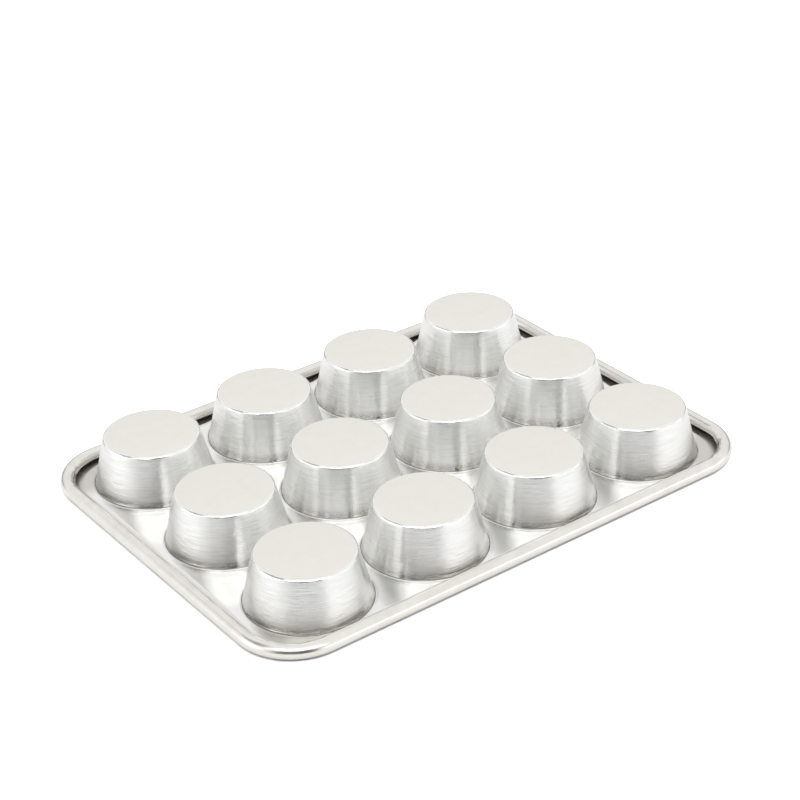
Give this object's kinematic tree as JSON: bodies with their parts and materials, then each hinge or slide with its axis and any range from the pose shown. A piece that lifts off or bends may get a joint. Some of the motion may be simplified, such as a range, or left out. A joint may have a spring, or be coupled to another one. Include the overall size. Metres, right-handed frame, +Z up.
{
  "type": "muffin pan",
  "caption": "Rectangular baking pan with rows of round drawn cups set in a sheet with a rolled, wired rim.",
  "frame": {"origin": "middle of the pan's footprint on the table, with the pan laid face down on its rolled rim and rim band", "axes": "+X along the long side, +Y along the short side, +Z up through the cup bottoms; the cups' mouths face -Z, so in use the pan is turned over"},
  "size_m": [0.3544, 0.2658, 0.034],
  "materials": {
    "frame_sheet": "bright rolled sheet, lightly worn",
    "rim_wire": "drawn steel wire",
    "cup": "drawn aluminium, burnished round the wall, matte on the bottom"
  },
  "bodies": {
    "root": {"frame_sheet": "frame_sheet", "rim_wire": "rim_wire", "cup_r1_c1": "cup", "cup_r1_c2": "cup", "cup_r1_c3": "cup", "cup_r1_c4": "cup", "cup_r2_c1": "cup", "cup_r2_c2": "cup", "cup_r2_c3": "cup", "cup_r2_c4": "cup", "cup_r3_c1": "cup", "cup_r3_c2": "cup", "cup_r3_c3": "cup", "cup_r3_c4": "cup"}
  },
  "joints": []
}
